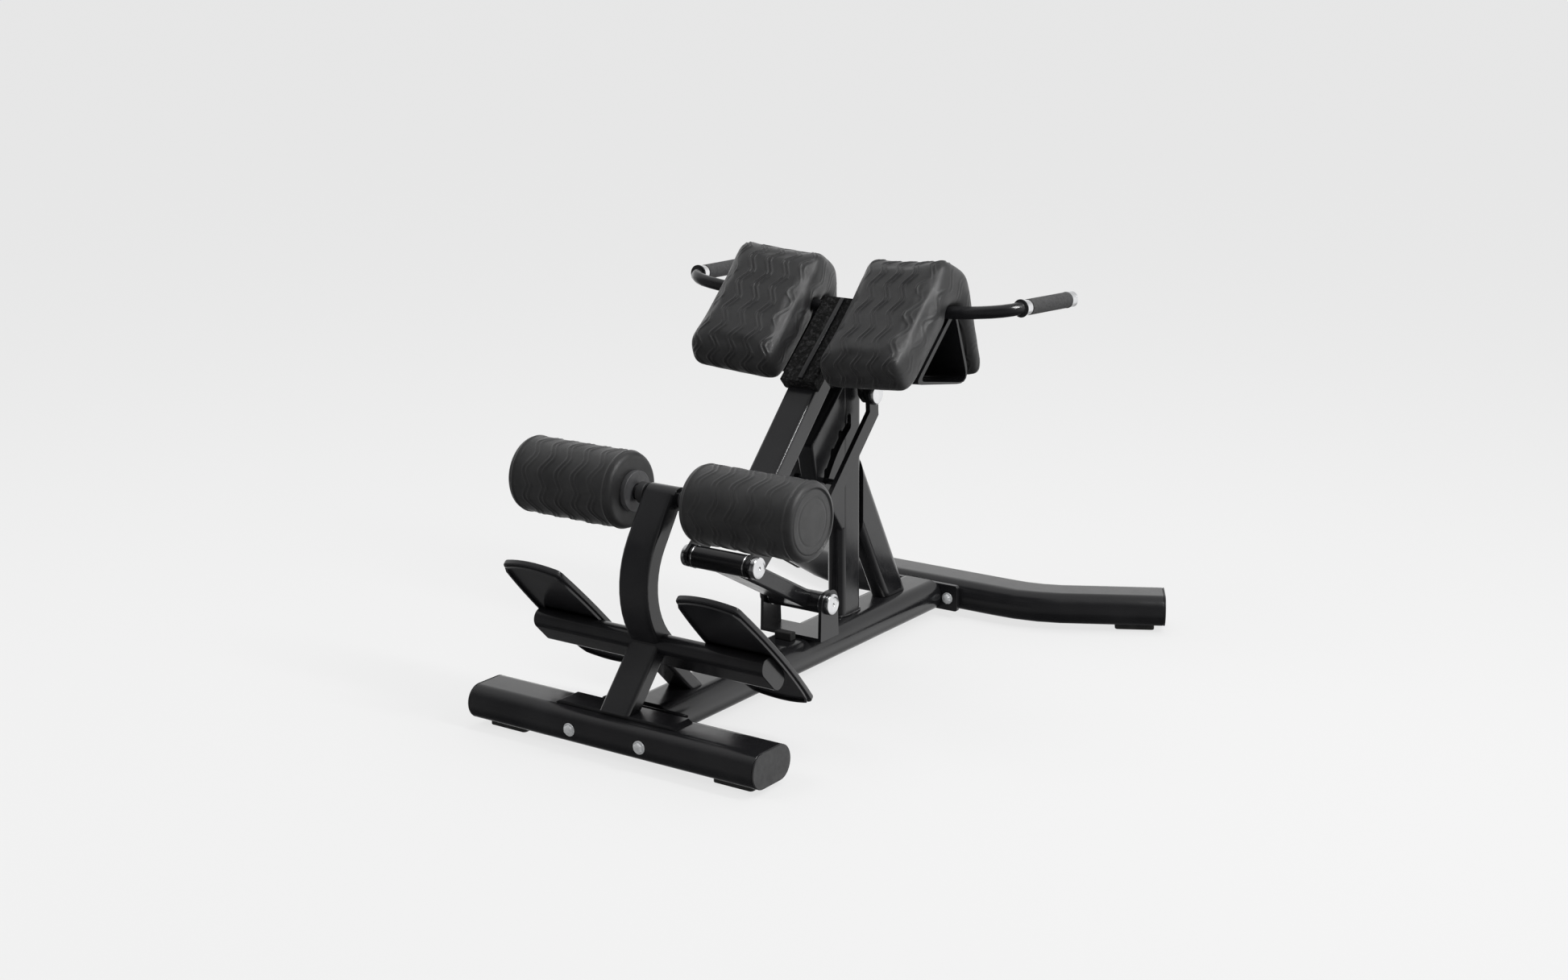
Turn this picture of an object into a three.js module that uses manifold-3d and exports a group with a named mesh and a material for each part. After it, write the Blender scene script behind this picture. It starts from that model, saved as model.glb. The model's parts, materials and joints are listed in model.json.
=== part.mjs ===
// Roman chair: a 45 degree back-extension bench, as an assembly of separate sub-parts.
// Millimetres, +Z up, the foot end towards -Y and the head end towards +Y.
// While it is built, y = 0 is the centre of the front floor beam; the last step centres it.
import * as THREE from 'three';
import { mergeVertices } from 'three/addons/utils/BufferGeometryUtils.js';
import Module from 'manifold-3d';

const wasm = await Module();
wasm.setup();

// ---- driving dimensions ----------------------------------------------------------------
const GAP = 0.3;                 // between pieces that touch
const FOOT_HEIGHT = 10;          // rubber feet under the floor beams
const BEAM = { width: 100, height: 58, flat: 46 };
const BEAM_MID = FOOT_HEIGHT + BEAM.height / 2;
const BEAM_TOP = FOOT_HEIGHT + BEAM.height;
const FRONT_BEAM_HALF = 287.5;
const CAP = 3.5;                 // thickness of the plastic end caps
const REAR_BEAM = { y: 953, bendX: 217, bendRadius: 60, endX: 425, endY: 1068 };
const REAR_FLANGE = { y: 892.4, thick: 10 };
const FRONT_FLANGE = { y: 50.3, thick: 8 };
const TUBE = { width: 72, thick: 35 };            // flat-oval stock
const POST = { width: 58, depth: 42, corner: 7 };
const FOOT_TUBE = { y: 85.5, z: 152.5, half: 231, slope: -45 };
const FOOT_PLATE = {
  x: 175, half: 70, end: 59, from: -218, to: 91, bow: 12, corner: 9, lift: 186.3, thick: 10,
};
const SADDLE = { half: 122, slant: 10, depth: 46, thick: 6 };
const UPRIGHT = { y: -19.5, z: 60.8, slope: 48.8, width: 58, depth: 29 };
const ARC = { y: 177, z: 258, radius: 132.5, from: 224, to: 146 };
const ROLLER = { y: 120.2, z: 395.1, radius: 64, inner: 68, outer: 282, bore: 13.5 };
const AXLE_RADIUS = 12.5;
const COLUMN = { y: 633, top: 496 };
const LADDER = { low: 250, back: 609, clear: 5.5, notch: 17 };
const GROUND_PIVOT = { y: 491, z: 131 };
const LINK_PIVOT = { y: 268.2, z: 251.4 };
const PIN_RADIUS = 10;
const LINK_TRAVEL = 25.3;        // degrees, from the lowest to the highest pad setting
const SETTINGS = 4;              // notches in the ladder slot
const STRUT_PIVOT = { y: 652, z: 472 };
const LOCK_PIN = { y: 550, z: 332, radius: 5 };
const POST_SLOPE = 46.4;
const PAD = { inner: 48, outer: 220, roll: 6.5, edge: 10, shift: 8 };
const HANDLE = { tube: 11, collar: 15.5, ring: 12.8, ringLength: 18, grip: 13.6, length: 161 };

// ---- finishes --------------------------------------------------------------------------
const finish = (color, roughness, metalness) =>
  new THREE.MeshStandardMaterial({ color, roughness, metalness });
const PAINT = finish(0x141517, 0.3, 0.2);
const LEATHER = finish(0x1b1b1d, 0.5, 0);
const RUBBER = finish(0x101010, 0.85, 0);
const PLASTIC = finish(0x1c1d1f, 0.45, 0);
const CHROME = finish(0xd8dadc, 0.12, 1);
const FOAM = finish(0x3a3b3d, 0.8, 0);
const HUB = finish(0x9a9c9e, 0.5, 0);

const SIDES = [['left', -1], ['right', 1]];
const X = new THREE.Vector3(1, 0, 0);
const Y = new THREE.Vector3(0, 1, 0);
const Z = new THREE.Vector3(0, 0, 1);
const radians = THREE.MathUtils.degToRad;
const slopeVector = (degrees) =>
  new THREE.Vector3(0, Math.cos(radians(degrees)), Math.sin(radians(degrees)));
const at = (place, x = 0) => new THREE.Vector3(x, place.y, place.z);

// ---- joining and cutting ---------------------------------------------------------------
function solidOf(geometry) {
  const plain = geometry.clone();
  for (const name of Object.keys(plain.attributes)) {
    if (name !== 'position') plain.deleteAttribute(name);
  }
  const merged = mergeVertices(plain, 1e-4);
  return new wasm.Manifold(new wasm.Mesh({
    numProp: 3,
    vertProperties: new Float32Array(merged.attributes.position.array),
    triVerts: new Uint32Array(merged.index.array),
  }));
}

function geometryOf(solid) {
  const mesh = solid.getMesh();
  const geometry = new THREE.BufferGeometry();
  geometry.setAttribute('position', new THREE.BufferAttribute(mesh.vertProperties, 3));
  geometry.setIndex(new THREE.BufferAttribute(mesh.triVerts, 1));
  geometry.computeVertexNormals();
  return geometry;
}

const join = (...pieces) => geometryOf(pieces.map(solidOf).reduce((a, b) => a.add(b)));

// Cuts tools out of a piece and keeps the largest body that is left.
function cut(piece, ...tools) {
  const rest = tools.map(solidOf).reduce((a, b) => a.subtract(b), solidOf(piece));
  const bodies = rest.decompose().sort((a, b) => b.volume() - a.volume());
  return geometryOf(bodies[0]);
}

function mirrored(geometry) {
  const copy = mergeVertices(geometry.clone().deleteAttribute('normal').deleteAttribute('uv'), 1e-4);
  copy.applyMatrix4(new THREE.Matrix4().makeScale(-1, 1, 1));
  const index = copy.index.array;
  for (let i = 0; i < index.length; i += 3) {
    [index[i], index[i + 1]] = [index[i + 1], index[i]];
  }
  copy.computeVertexNormals();
  return copy;
}

// ---- sections and shapes ---------------------------------------------------------------
function ovalSection(width, thick, grow = 0) {
  const radius = thick / 2 + grow;
  const half = (width - thick) / 2;
  const shape = new THREE.Shape();
  shape.absarc(half, 0, radius, -Math.PI / 2, Math.PI / 2);
  shape.absarc(-half, 0, radius, Math.PI / 2, 3 * Math.PI / 2);
  return shape;
}

function rectSection(width, depth, corner, grow = 0) {
  const a = width / 2 + grow - corner;
  const b = depth / 2 + grow - corner;
  const shape = new THREE.Shape();
  shape.absarc(a, b, corner, 0, Math.PI / 2);
  shape.absarc(-a, b, corner, Math.PI / 2, Math.PI);
  shape.absarc(-a, -b, corner, Math.PI, 3 * Math.PI / 2);
  shape.absarc(a, -b, corner, 3 * Math.PI / 2, 2 * Math.PI);
  return shape;
}

// Flat on top and below, with half-ellipse sides. The height runs along the shape's x.
function beamSection() {
  const flat = BEAM.flat / 2;
  const bulge = BEAM.width / 2 - flat;
  const high = BEAM.height / 2;
  const shape = new THREE.Shape();
  shape.absellipse(0, flat, high, bulge, 0, Math.PI);
  shape.absellipse(0, -flat, high, bulge, Math.PI, 2 * Math.PI);
  return shape;
}

function roundSection(radius) {
  const shape = new THREE.Shape();
  shape.absarc(0, 0, radius, 0, 2 * Math.PI);
  return shape;
}

// A closed outline through corner points [a, b, radius], each corner rounded.
function roundedOutline(corners, Kind = THREE.Shape) {
  const outline = new Kind();
  const count = corners.length;
  corners.forEach(([a, b, radius], i) => {
    const corner = new THREE.Vector2(a, b);
    const before = new THREE.Vector2(...corners[(i + count - 1) % count].slice(0, 2));
    const after = new THREE.Vector2(...corners[(i + 1) % count].slice(0, 2));
    const into = before.sub(corner);
    const out = after.sub(corner);
    const turn = Math.acos(into.dot(out) / into.length() / out.length());
    const reach = radius / Math.tan(turn / 2);
    const start = corner.clone().add(into.setLength(reach));
    const end = corner.clone().add(out.setLength(reach));
    if (i === 0) outline.moveTo(start.x, start.y);
    else outline.lineTo(start.x, start.y);
    outline.quadraticCurveTo(a, b, end.x, end.y);
  });
  outline.closePath();
  return outline;
}

// A strip of one width along a bent centre line, with round ends.
function stripOutline(points, width) {
  const line = points.map(([a, b]) => new THREE.Vector2(a, b));
  const along = line.slice(1).map((p, i) => p.clone().sub(line[i]).normalize());
  const normalAt = (i) => {
    const u = along[Math.max(i - 1, 0)];
    const v = along[Math.min(i, along.length - 1)];
    const mid = u.clone().add(v).normalize();
    return new THREE.Vector2(-mid.y, mid.x).multiplyScalar(1 / mid.dot(u));
  };
  const side = (sign) => line.map((p, i) => p.clone().addScaledVector(normalAt(i), sign * width / 2));
  const last = line[line.length - 1];
  const tip = along[along.length - 1].angle();
  const tail = along[0].angle();
  const shape = new THREE.Shape(side(-1));
  shape.absarc(last.x, last.y, width / 2, tip - Math.PI / 2, tip + Math.PI / 2);
  side(1).reverse().forEach((p) => shape.lineTo(p.x, p.y));
  shape.absarc(line[0].x, line[0].y, width / 2, tail + Math.PI / 2, tail + 3 * Math.PI / 2);
  return shape;
}

// ---- solids ----------------------------------------------------------------------------
const extrude = (shape, depth, curveSegments, bevel = 0) => new THREE.ExtrudeGeometry(shape, {
  depth: depth - 2 * bevel,
  curveSegments,
  bevelEnabled: bevel > 0,
  bevelThickness: bevel,
  bevelSize: bevel,
  bevelOffset: -bevel,
  bevelSegments: 3,
}).translate(0, 0, bevel);

const placed = (geometry, origin, across, up, along) => geometry.applyMatrix4(
  new THREE.Matrix4().makeBasis(across, up, along).setPosition(origin));

// A straight bar with its section's x along the given side direction.
function bar(section, from, to, side = X, curveSegments = 8) {
  const along = to.clone().sub(from);
  const length = along.length();
  along.normalize();
  const up = along.clone().cross(side).normalize();
  return placed(extrude(section, length, curveSegments), from, side.clone(), up, along);
}

// A (y, z) outline, as wide as x0 to x1.
const slab = (shape, x0, x1, curveSegments = 6, bevel = 0) =>
  placed(extrude(shape, x1 - x0, curveSegments, bevel), new THREE.Vector3(x0, 0, 0), Y, Z, X);

const block = (x0, x1, y0, y1, z0, z1) => new THREE.BoxGeometry(x1 - x0, y1 - y0, z1 - z0)
  .translate((x0 + x1) / 2, (y0 + y1) / 2, (z0 + z1) / 2);

// A turned piece: profile points are [radius, distance along the axis].
function turned(profile, origin, along, segments = 32) {
  const lathe = new THREE.LatheGeometry(profile.map(([r, h]) => new THREE.Vector2(r, h)), segments);
  const turn = new THREE.Quaternion().setFromUnitVectors(Y, along);
  return lathe.applyQuaternion(turn).translate(origin.x, origin.y, origin.z);
}

const rod = (place, x0, x1, radius, segments = 24) =>
  turned([[0, 0], [radius, 0], [radius, x1 - x0], [0, x1 - x0]], at(place, x0), X, segments);

// A run of straight stretches with rounded corners, for ExtrudeGeometry to follow.
function bentPath(points, radius) {
  const path = new THREE.CurvePath();
  let start = points[0];
  for (let i = 1; i < points.length - 1; i += 1) {
    const back = points[i - 1].clone().sub(points[i]).setLength(radius).add(points[i]);
    const on = points[i + 1].clone().sub(points[i]).setLength(radius).add(points[i]);
    path.add(new THREE.LineCurve3(start, back));
    path.add(new THREE.QuadraticBezierCurve3(back, points[i], on));
    start = on;
  }
  path.add(new THREE.LineCurve3(start, points[points.length - 1]));
  return path;
}

const sweep = (section, path, steps, curveSegments = 8) =>
  new THREE.ExtrudeGeometry(section, { extrudePath: path, steps, curveSegments, bevelEnabled: false });

// ---- the assembly ----------------------------------------------------------------------
const chair = new THREE.Group();
chair.name = 'roman_chair';

function add(name, geometry, material) {
  const mesh = new THREE.Mesh(geometry, material);
  mesh.name = name;
  chair.add(mesh);
}

function addPair(name, geometry, material) {
  add(`${name}_right`, geometry, material);
  add(`${name}_left`, mirrored(geometry), material);
}

// ---- floor frame -----------------------------------------------------------------------
function floorBeams() {
  const end = FRONT_BEAM_HALF - CAP;
  const lie = (x0, x1) => placed(extrude(beamSection(), x1 - x0, 8),
    new THREE.Vector3(x0, 0, BEAM_MID), Z.clone().negate(), Y, X);
  add('front_beam', lie(-end, end), PAINT);
  addPair('front_beam_cap', lie(end + GAP, FRONT_BEAM_HALF), PLASTIC);

  const mainFrom = FRONT_FLANGE.y + FRONT_FLANGE.thick + GAP;
  const mainTo = REAR_FLANGE.y - GAP;
  add('main_beam', placed(extrude(beamSection(), mainTo - mainFrom, 8),
    new THREE.Vector3(0, mainFrom, BEAM_MID), Z, X, Y), PAINT);
}

function rearBeam() {
  const armEnd = new THREE.Vector3(REAR_BEAM.endX, REAR_BEAM.endY, BEAM_MID);
  const bend = new THREE.Vector3(REAR_BEAM.bendX, REAR_BEAM.y, BEAM_MID);
  const flip = new THREE.Vector3(-1, 1, 1);
  const arm = armEnd.clone().sub(bend).normalize();
  const tubeEnd = armEnd.clone().addScaledVector(arm, -CAP);
  const path = bentPath([tubeEnd.clone().multiply(flip), bend.clone().multiply(flip), bend, tubeEnd],
    REAR_BEAM.bendRadius);
  add('rear_beam', sweep(beamSection(), path, 24, 8), PAINT);

  const cap = bar(beamSection(), tubeEnd.clone().addScaledVector(arm, GAP), armEnd,
    Z.clone().negate(), 8);
  addPair('rear_beam_cap', cap, PLASTIC);

  const foot = extrude(rectSection(72, 46, 6), FOOT_HEIGHT - GAP, 4);
  const footAt = bend.clone().lerp(armEnd, 0.77).setZ(0);
  addPair('rear_foot', placed(foot, footAt, arm, Z.clone().cross(arm), Z), RUBBER);
}

function frontFeet() {
  const foot = extrude(rectSection(75, 44, 6), FOOT_HEIGHT - GAP, 4).translate(227.5, 0, 0);
  addPair('front_foot', foot, RUBBER);
}

function flange(y, thick, half) {
  const outline = roundedOutline([[-half, 14, 6], [half, 14, 6], [half, 64, 6], [-half, 64, 6]]);
  return placed(extrude(outline, thick, 4), new THREE.Vector3(0, y + thick, 0), X, Z, Y.clone().negate());
}

function boltHead(x, y, z) {
  const washer = turned([[0, 0], [11, 0], [11, 2], [0, 2]], new THREE.Vector3(x, y, z),
    Y.clone().negate(), 24);
  const dome = turned([[0, 1], [8.5, 1], [8.5, 4], [6.8, 6.6], [3.6, 8.2], [0, 8.8]],
    new THREE.Vector3(x, y, z), Y.clone().negate(), 6);
  return join(washer, dome);
}

function flangesAndBolts() {
  add('front_flange', flange(FRONT_FLANGE.y, FRONT_FLANGE.thick, 86), PAINT);
  add('rear_flange', flange(REAR_FLANGE.y, REAR_FLANGE.thick, 83), PAINT);
  addPair('front_bolt', boltHead(70.5, -BEAM.width / 2 - GAP, BEAM_MID + 1), CHROME);
  addPair('rear_bolt', boltHead(62.5, REAR_FLANGE.y - GAP, BEAM_MID - 1), CHROME);
}

// ---- foot end --------------------------------------------------------------------------
function footTube(grow = 0) {
  const place = at(FOOT_TUBE, -FOOT_TUBE.half - grow);
  const long = slopeVector(FOOT_TUBE.slope);
  return placed(extrude(ovalSection(TUBE.width, TUBE.thick, grow), 2 * (FOOT_TUBE.half + grow), 10),
    place, long, X.clone().cross(long), X);
}

// Goes round from the foot tube and then straight up to the roller sleeve.
function curvedTube(grow = 0) {
  const path = new THREE.CurvePath();
  const turn = new THREE.EllipseCurve(ARC.y, ARC.z, ARC.radius, ARC.radius,
    radians(ARC.from), radians(ARC.to), true);
  const points = turn.getPoints(12).map((p) => new THREE.Vector3(0, p.x, p.y));
  const lastPoint = points[points.length - 1];
  const rise = slopeVector(ARC.to - 90);
  points.slice(1).forEach((p, i) => path.add(new THREE.LineCurve3(points[i], p)));
  path.add(new THREE.LineCurve3(lastPoint, lastPoint.clone().addScaledVector(rise, 80)));
  return sweep(rectSection(POST.width, 35, 7, grow), path, 16, 2);
}

function upright() {
  const along = slopeVector(UPRIGHT.slope);
  const from = at(UPRIGHT).addScaledVector(along, -20);
  const to = at(UPRIGHT).addScaledVector(along, 132);
  const raw = bar(rectSection(UPRIGHT.width, UPRIGHT.depth, 6), from, to);
  return cut(raw, footTube(GAP), curvedTube(GAP),
    block(-60, 60, -120, 120, 0, BEAM_TOP + SADDLE.thick + GAP));
}

function frontBrace() {
  const raw = bar(rectSection(50, 24, 6), new THREE.Vector3(0, 88, 142), new THREE.Vector3(0, 182, 48));
  return cut(raw, footTube(GAP), block(-60, 60, 60, 260, 0, BEAM_TOP + GAP));
}

// The foot plate's outline in its own plane: four bowed edges with rounded corners between them.
function footOutline() {
  const { half, end, from, to, bow, corner } = FOOT_PLATE;
  const corners = [[end, from + bow], [end, to - bow], [-end, to - bow], [-end, from + bow]]
    .map(([u, v]) => new THREE.Vector2(u, v));
  const bows = [[half - end, 0], [0, bow], [end - half, 0], [0, -bow]]
    .map(([u, v]) => new THREE.Vector2(2 * u, 2 * v));
  const edges = corners.map((start, i) => {
    const stop = corners[(i + 1) % 4];
    const control = start.clone().lerp(stop, 0.5).add(bows[i]);
    const curve = new THREE.QuadraticBezierCurve(start, control, stop);
    const reach = corner / curve.getLength();
    return Array.from({ length: 9 }, (_, k) => curve.getPointAt(reach + (1 - 2 * reach) * k / 8));
  });
  const shape = new THREE.Shape(edges[0]);
  edges.forEach((_, i) => {
    const next = (i + 1) % 4;
    shape.quadraticCurveTo(corners[next].x, corners[next].y, edges[next][0].x, edges[next][0].y);
    if (next > 0) edges[next].slice(1).forEach((point) => shape.lineTo(point.x, point.y));
  });
  return shape;
}

function footPlate() {
  const { x, lift, thick } = FOOT_PLATE;
  const normal = slopeVector(-FOOT_TUBE.slope);
  const origin = normal.clone().multiplyScalar(lift).setX(x);
  return placed(extrude(footOutline(), thick, 5, 2.5), origin, X, slopeVector(FOOT_TUBE.slope), normal);
}

function footEnd() {
  add('foot_tube', footTube(), PAINT);
  addPair('foot_plate', footPlate(), PAINT);
  add('upright', upright(), PAINT);
  add('front_brace', frontBrace(), PAINT);
  const { half, slant, depth, thick } = SADDLE;
  const top = thick - GAP;
  const saddle = roundedOutline(
    [[-half, 0, 1], [half, 0, 1], [half - slant, top, 2], [slant - half, top, 2]]);
  add('upright_saddle', placed(extrude(saddle, depth, 3), new THREE.Vector3(0, depth / 2, BEAM_TOP + GAP),
    X, Z, Y.clone().negate()), PAINT);
}

// ---- ankle rollers ---------------------------------------------------------------------
function ankleRollers() {
  const bore = rod(ROLLER, -60, 60, AXLE_RADIUS + GAP);
  const sleeve = rod(ROLLER, -POST.width / 2, POST.width / 2, 19);
  add('curved_tube', cut(cut(join(curvedTube(), sleeve), bore), footTube(GAP)), PAINT);
  add('roller_axle', rod(ROLLER, -268, 268, AXLE_RADIUS), PAINT);

  const ring = (x0, x1, radius) => turned(
    [[AXLE_RADIUS + GAP, 0], [radius, 0], [radius, x1 - x0], [AXLE_RADIUS + GAP, x1 - x0],
      [AXLE_RADIUS + GAP, 0]], at(ROLLER, x0), X, 32);
  addPair('roller_collar', ring(36, 50, 18), PLASTIC);
  addPair('roller_hub', ring(58, ROLLER.inner - GAP, 34), HUB);

  const { radius, inner, outer, bore: hole } = ROLLER;
  const edge = 11;
  const length = outer - inner;
  const profile = [[hole, 0]];
  for (let i = 0; i <= 4; i += 1) {
    const a = radians(22.5 * i);
    profile.push([radius - edge + edge * Math.sin(a), edge - edge * Math.cos(a)]);
  }
  for (let i = 0; i <= 4; i += 1) {
    const a = radians(22.5 * i);
    profile.push([radius - edge + edge * Math.cos(a), length - edge + edge * Math.sin(a)]);
  }
  profile.push([0, length], [0, length - 12], [hole, length - 12], [hole, 0]);
  addPair('roller', turned(profile, at(ROLLER, inner), X, 32), LEATHER);
}

// ---- column and ladder -----------------------------------------------------------------
// Where a point of the pad unit is after the link has turned by some degrees.
function movedBy(place, degrees) {
  const arm = new THREE.Vector2(LINK_PIVOT.y - GROUND_PIVOT.y, LINK_PIVOT.z - GROUND_PIVOT.z);
  const turnedArm = arm.clone().rotateAround(new THREE.Vector2(), -radians(degrees));
  const step = turnedArm.sub(arm);
  return new THREE.Vector2(place.y + step.x, place.z + step.y);
}

// The slot that the lock pin runs in, wide enough for the strut to lift the pin a little.
function ladderSlot() {
  const { radius } = LOCK_PIN;
  const upper = new THREE.Vector2(-1, 1).setLength(radius + LADDER.clear);
  const lower = new THREE.Vector2(1, -1).setLength(radius + 1.5);
  const ahead = new THREE.Vector2(1, 1).setLength(radius + 1.5);
  const steps = 8;
  const path = [];
  for (let i = 0; i <= steps; i += 1) path.push(movedBy(LOCK_PIN, LINK_TRAVEL * i / steps));
  const first = path[0].clone().sub(ahead);
  const last = path[steps].clone().add(ahead);
  const shape = new THREE.Shape([
    first.clone().addScaledVector(upper, 0.7), ...path.map((p) => p.clone().add(upper)),
    last.clone().addScaledVector(upper, 0.7), last.clone().addScaledVector(lower, 0.4),
    ...path.reverse().map((p) => p.clone().add(lower)), first.clone().addScaledVector(lower, 0.4),
  ]);
  return slab(shape, -40, 40);
}

// An upright notch above the slot for each height setting.
function ladderNotch(setting) {
  const pin = movedBy(LOCK_PIN, LINK_TRAVEL * setting / (SETTINGS - 1));
  const outline = stripOutline([[pin.x, pin.y], [pin.x, pin.y + LADDER.notch]], 2 * LOCK_PIN.radius + 1.6);
  return slab(outline, -40, 40);
}

function columnAndLadder() {
  const openings = [ladderSlot(), ...Array.from({ length: SETTINGS }, (_, i) => ladderNotch(i))];
  const column = (from, to, grow) =>
    bar(ovalSection(TUBE.width, TUBE.thick, grow), new THREE.Vector3(0, COLUMN.y, from),
      new THREE.Vector3(0, COLUMN.y, to), Y, 10);
  add('column', cut(column(BEAM_TOP + GAP, COLUMN.top, 0), ...openings), PAINT);

  const half = TUBE.thick / 2;
  const outline = roundedOutline([
    [700, LADDER.low - 20, 8], [700, COLUMN.top, 8], [607, COLUMN.top, 12],
    [506, 402, 12], [522, 336, 30], [600, LADDER.low - 20, 8],
  ]);
  const behind = block(-half - 1, half + 1, LADDER.back, 720, 200, 520);
  const around = column(200, 520, GAP);
  add('ladder_box', cut(slab(outline, -half, half, 5, 5), behind, around, ...openings), PAINT);
}

function rearBrace() {
  const lean = slopeVector(-61.4);
  const top = new THREE.Vector3(0, 633, 342.8);
  const raw = bar(ovalSection(TUBE.width, TUBE.thick), top, top.clone().addScaledVector(lean, 380),
    X.clone().cross(lean), 10);
  const half = TUBE.thick / 2 + 4;
  return cut(raw, block(-half, half, 560, COLUMN.y + TUBE.width / 2 + GAP, 0, 500),
    block(-60, 60, 600, 1000, -60, BEAM_TOP + GAP));
}

// ---- lower link and its pivots ---------------------------------------------------------
function pivotBracket() {
  const { y, z } = GROUND_PIVOT;
  const foot = BEAM_TOP + GAP;
  const ear = roundedOutline(
    [[y - 27, foot, 1], [y + 29, foot, 1], [y + 25, z + 24, 22], [y - 24, z + 24, 22]]);
  const plate = block(-64, 64, y - 27, y + 29, foot, foot + 6);
  const body = join(slab(ear, 58, 64), slab(ear, -64, -58), plate);
  return cut(body, rod(GROUND_PIVOT, -80, 80, PIN_RADIUS + GAP));
}

function pivotCap(place, inner, thick) {
  return turned([[0, 0], [19, 0], [19, thick - 3], [16, thick], [0, thick]], at(place, inner), X, 32);
}

function lowerLink() {
  const span = at(LINK_PIVOT).sub(at(GROUND_PIVOT));
  const near = at(GROUND_PIVOT).addScaledVector(span, 0.05);
  const far = at(GROUND_PIVOT).addScaledVector(span, 0.95);
  const body = join(bar(rectSection(POST.width, 32, 6), near, far),
    rod(GROUND_PIVOT, -57.6, 57.6, 19), rod(LINK_PIVOT, -57.6, 57.6, 19));
  return cut(body, rod(GROUND_PIVOT, -80, 80, PIN_RADIUS + GAP), rod(LINK_PIVOT, -80, 80, PIN_RADIUS + GAP));
}

function linkAndPivots() {
  add('pivot_bracket', pivotBracket(), PAINT);
  add('ground_pin', rod(GROUND_PIVOT, -64, 64, PIN_RADIUS), CHROME);
  addPair('ground_pin_cap', pivotCap(GROUND_PIVOT, 64 + GAP, 8), CHROME);
  add('link_stop', block(-17, 17, 440, 456, BEAM_TOP + GAP, BEAM_TOP + 14), RUBBER);
  add('lower_link', lowerLink(), PAINT);
  add('link_pin', rod(LINK_PIVOT, -66, 66, PIN_RADIUS), CHROME);
  addPair('link_pin_cap', pivotCap(LINK_PIVOT, 66 + GAP, 9), CHROME);
}

// ---- pad post, carrier and strut -------------------------------------------------------
const postAlong = slopeVector(POST_SLOPE);
const postBack = slopeVector(POST_SLOPE - 90);
const postFront = at(LINK_PIVOT).addScaledVector(postBack, -6.7);

const onPost = (distance, depth) =>
  postFront.clone().addScaledVector(postAlong, distance).addScaledVector(postBack, depth);

function postOutline(corners) {
  return roundedOutline(corners.map(([distance, depth, radius]) => {
    const point = onPost(distance, depth);
    return [point.y, point.z, radius];
  }));
}

// Surface, back and ends of the plate box that carries the two pads.
function carrierBox(grow = 0) {
  const low = new THREE.Vector3(0, 485, 520);
  const high = new THREE.Vector3(0, 622, 643);
  const along = high.clone().sub(low).normalize();
  const back = along.clone().cross(X);
  const middle = 13.5;
  return bar(rectSection(70, 27, 4, grow), low.addScaledVector(back, middle).addScaledVector(along, -grow),
    high.addScaledVector(back, middle).addScaledVector(along, grow));
}

function padCarrier() {
  const { y, z } = STRUT_PIVOT;
  const lug = roundedOutline([[560, 566, 6], [612, 612, 6], [640, 600, 10], [y + 20, z - 4, 14],
    [y, z - 22, 14], [y - 20, z - 2, 14], [620, 530, 20]]);
  const body = join(carrierBox(), slab(lug, 30, 35), slab(lug, -35, -30));
  return cut(body, rod(STRUT_PIVOT, -60, 60, PIN_RADIUS + GAP));
}

function padPost() {
  const shaft = bar(rectSection(POST.width, POST.depth, POST.corner), onPost(58, POST.depth / 2),
    onPost(372, POST.depth / 2), X, 3);
  const bridge = postOutline([[40, -8, 4], [72, 0, 4], [72, POST.depth, 4], [40, POST.depth - 4, 4]]);
  const ear = postOutline([[-14, -16, 12], [70, -4, 4], [70, POST.depth, 4], [10, 34, 12], [-16, 24, 12]]);
  const body = join(shaft, slab(bridge, -66, 66), slab(ear, 60, 66), slab(ear, -66, -60));
  return cut(body, rod(LINK_PIVOT, -80, 80, PIN_RADIUS + GAP), carrierBox(GAP));
}

function strut() {
  const { y, z } = STRUT_PIVOT;
  const outline = stripOutline([[y, z], [y + 2, 437], [LOCK_PIN.y, LOCK_PIN.z], [528, 310]], 27);
  const cross = rod(LOCK_PIN, -45, 45, LOCK_PIN.radius);
  const body = join(slab(outline, 41, 50), slab(outline, -50, -41), cross);
  return cut(body, rod(STRUT_PIVOT, -60, 60, PIN_RADIUS + GAP));
}

function postAndStrut() {
  add('pad_post', padPost(), PAINT);
  add('pad_carrier', padCarrier(), PAINT);
  add('strut', strut(), PAINT);
  const stub = rod(STRUT_PIVOT, 22, 52, PIN_RADIUS);
  addPair('strut_pin', join(stub, pivotCap(STRUT_PIVOT, 50 + GAP, 9)), CHROME);
}

// ---- pads, brackets and handles --------------------------------------------------------
// Rolls a pad or bracket so that its outer end is higher and further forward.
function rolled(geometry) {
  const axis = new THREE.Vector3(0, 1, 1).normalize();
  const centre = new THREE.Vector3((PAD.inner + PAD.outer) / 2, 600, 640);
  return geometry.translate(-centre.x, -centre.y, -centre.z)
    .applyQuaternion(new THREE.Quaternion().setFromAxisAngle(axis, -radians(PAD.roll)))
    .translate(centre.x, centre.y, centre.z);
}

const shifted = (corners) => corners.map(([y, z, radius]) => [y + PAD.shift, z - PAD.shift, radius]);

function padBody() {
  const outline = roundedOutline(shifted([[456, 575, 20], [622, 733, 26], [685, 698, 36],
    [714, 525, 16], [685, 515, 13], [650, 656, 8], [485, 504, 36]]));
  return rolled(slab(outline, PAD.inner, PAD.outer, 4, PAD.edge));
}

function padBracket() {
  const outer = roundedOutline(shifted([[524, 531, 8], [648, 645, 12], [681, 507, 28]]));
  outer.holes.push(roundedOutline(shifted([[538, 534, 6], [673, 511, 18], [646, 633, 9]]), THREE.Path));
  return rolled(slab(outer, PAD.inner + 6, PAD.outer - 10));
}

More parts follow.
